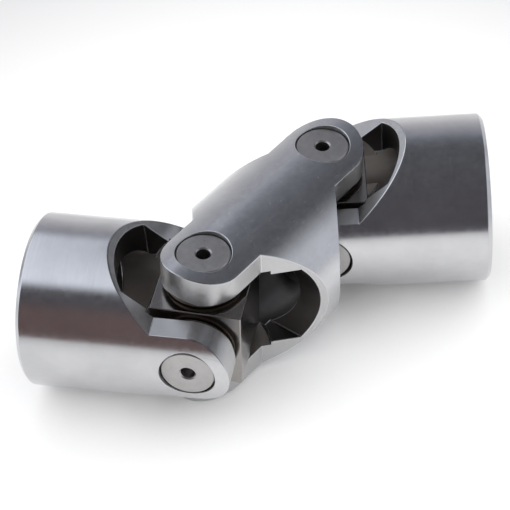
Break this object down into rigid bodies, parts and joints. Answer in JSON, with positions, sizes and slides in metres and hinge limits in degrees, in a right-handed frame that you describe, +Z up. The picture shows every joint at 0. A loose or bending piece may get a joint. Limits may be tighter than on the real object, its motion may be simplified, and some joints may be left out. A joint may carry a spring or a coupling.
{
  "type": "universal joint shaft",
  "caption": "Double universal joint with two bored steel hubs, a slotted centre yoke and pinned cross blocks, bent in a Z.",
  "frame": {"origin": "on the floor plane, under the middle of the joint's outer box as it lies bent", "axes": "+Z up from the surface the joint lies on, +X from the left hub's end towards the right hub's end, +Y away from the front side"},
  "size_m": [0.0846, 0.0663, 0.032],
  "materials": {
    "yoke_steel": "finely ground steel, almost polished",
    "hub_steel": "fine turned steel with a soft shine",
    "block_steel": "smooth hardened steel with a darker tone",
    "pin_steel": "satin face-turned steel with faint rings",
    "dowel_steel": "dark oiled steel",
    "washer_bronze": "dull bearing bronze"
  },
  "bodies": {
    "center_yoke": {"center_yoke": "yoke_steel"},
    "left_cross": {"left_cross_block": "block_steel", "left_hub_pin": "pin_steel", "left_yoke_pin_upper": "pin_steel", "left_yoke_pin_lower": "pin_steel", "left_locking_dowel": "dowel_steel", "left_hub_washer_front": "washer_bronze", "left_hub_washer_back": "washer_bronze", "left_yoke_washer_upper": "washer_bronze", "left_yoke_washer_lower": "washer_bronze"},
    "left_hub": {"left_hub": "hub_steel"},
    "right_cross": {"right_cross_block": "block_steel", "right_hub_pin": "pin_steel", "right_yoke_pin_upper": "pin_steel", "right_yoke_pin_lower": "pin_steel", "right_locking_dowel": "dowel_steel", "right_hub_washer_front": "washer_bronze", "right_hub_washer_back": "washer_bronze", "right_yoke_washer_upper": "washer_bronze", "right_yoke_washer_lower": "washer_bronze"},
    "right_hub": {"right_hub": "hub_steel"}
  },
  "joints": [
    {"name": "left_yoke_pin_hinge", "type": "hinge", "parent": "center_yoke", "child": "left_cross", "pos_m": [-0.00954, -0.01648, 0.016], "axis": [0.0532, -0.0333, 0.998], "range_deg": [-1, 129]},
    {"name": "left_hub_pin_hinge", "type": "hinge", "parent": "left_cross", "child": "left_hub", "pos_m": [-0.00954, -0.01648, 0.016], "axis": [0.1061, 0.994, 0.0275], "range_deg": [-5.2, 11.7]},
    {"name": "right_yoke_pin_hinge", "type": "hinge", "parent": "center_yoke", "child": "right_cross", "pos_m": [0.00956, 0.01403, 0.016], "axis": [0.0532, -0.0333, 0.998], "range_deg": [-13.1, 116.9]},
    {"name": "right_hub_pin_hinge", "type": "hinge", "parent": "right_cross", "child": "right_hub", "pos_m": [0.00956, 0.01403, 0.016], "axis": [-0.1044, 0.9938, 0.0387], "range_deg": [-5.6, 11.3]}
  ]
}
